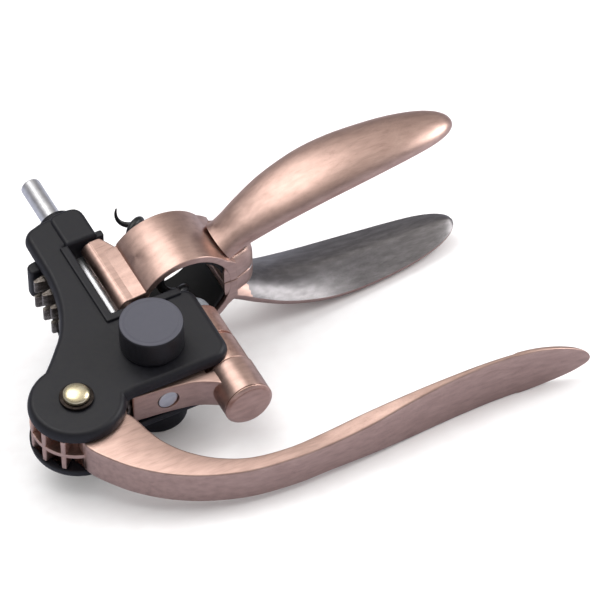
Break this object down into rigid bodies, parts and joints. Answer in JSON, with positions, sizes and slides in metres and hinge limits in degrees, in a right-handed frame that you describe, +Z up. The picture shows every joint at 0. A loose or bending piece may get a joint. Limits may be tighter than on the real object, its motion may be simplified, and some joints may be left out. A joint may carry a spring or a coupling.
{
  "type": "lever corkscrew",
  "caption": "Lever corkscrew with a geared lever, a rack-driven coated worm on a sliding carriage and two hinged clamp handles that grip the bottle neck.",
  "frame": {"origin": "on the table, under the middle of the object's box; the object lies on its far knob, far grip and lever as it is put down", "axes": "+X roughly along the clamp handles towards their grips, +Y roughly along the worm towards the bottle, +Z up from the table"},
  "size_m": [0.1648, 0.1406, 0.0585],
  "materials": {
    "black_abs": "satin moulded black plastic",
    "copper_zinc": "zinc die casting with a brushed antique copper finish",
    "satin_steel": "satin steel",
    "pale_brass": "satin brass",
    "dark_steel": "dark sintered steel",
    "coated_wire": "black non-stick coated steel wire",
    "grip_rubber": "matte black rubber",
    "grey_nylon": "moulded grey nylon"
  },
  "bodies": {
    "frame": {"near_cover": "black_abs", "far_cover": "black_abs", "pivot_rivet": "pale_brass", "near_washer": "satin_steel", "far_washer": "satin_steel", "near_knob": "black_abs", "far_knob": "black_abs", "nut_carrier": "copper_zinc", "nut_insert": "grey_nylon", "near_hinge_pin": "satin_steel", "far_hinge_pin": "satin_steel", "screw_middle": "dark_steel", "screw_lower": "dark_steel"},
    "lever": {"lever": "copper_zinc"},
    "carriage": {"carriage": "copper_zinc", "holder_cap": "copper_zinc", "rack": "dark_steel", "rack_tip": "black_abs", "guide_rod": "satin_steel", "thrust_washer": "satin_steel"},
    "worm": {"worm": "coated_wire"},
    "near_handle": {"near_handle": "copper_zinc", "near_pad": "grip_rubber"},
    "far_handle": {"far_handle": "copper_zinc", "far_pad": "grip_rubber"}
  },
  "joints": [
    {"name": "lever_pivot", "type": "hinge", "parent": "frame", "child": "lever", "pos_m": [-0.0672, -0.02065, 0.02005], "axis": [-0.0006, 0.2468, -0.9691], "range_deg": [0, 195]},
    {"name": "carriage_slide", "type": "slide", "parent": "frame", "child": "carriage", "axis": [-0.0001, -0.9691, -0.2468], "range_m": [0, 0.04208]},
    {"name": "worm_spin", "type": "hinge", "parent": "carriage", "child": "worm", "pos_m": [-0.018, -0.02065, 0.02002], "axis": [-0.0001, -0.9691, -0.2468], "range_deg": [0, 1442.09]},
    {"name": "near_handle_hinge", "type": "hinge", "parent": "frame", "child": "near_handle", "pos_m": [-0.03579, 0.01573, 0.03601], "axis": [-0.0001, -0.9691, -0.2468], "range_deg": [0, 16]},
    {"name": "far_handle_hinge", "type": "hinge", "parent": "frame", "child": "far_handle", "pos_m": [-0.0358, 0.01894, 0.02341], "axis": [0.0001, 0.9691, 0.2468], "range_deg": [0, 16]}
  ],
  "couplings": [
    {"joint": "carriage_slide", "follows": "lever_pivot", "m_per_rad": 0.01235},
    {"joint": "worm_spin", "follows": "lever_pivot", "ratio": 7.3902}
  ]
}
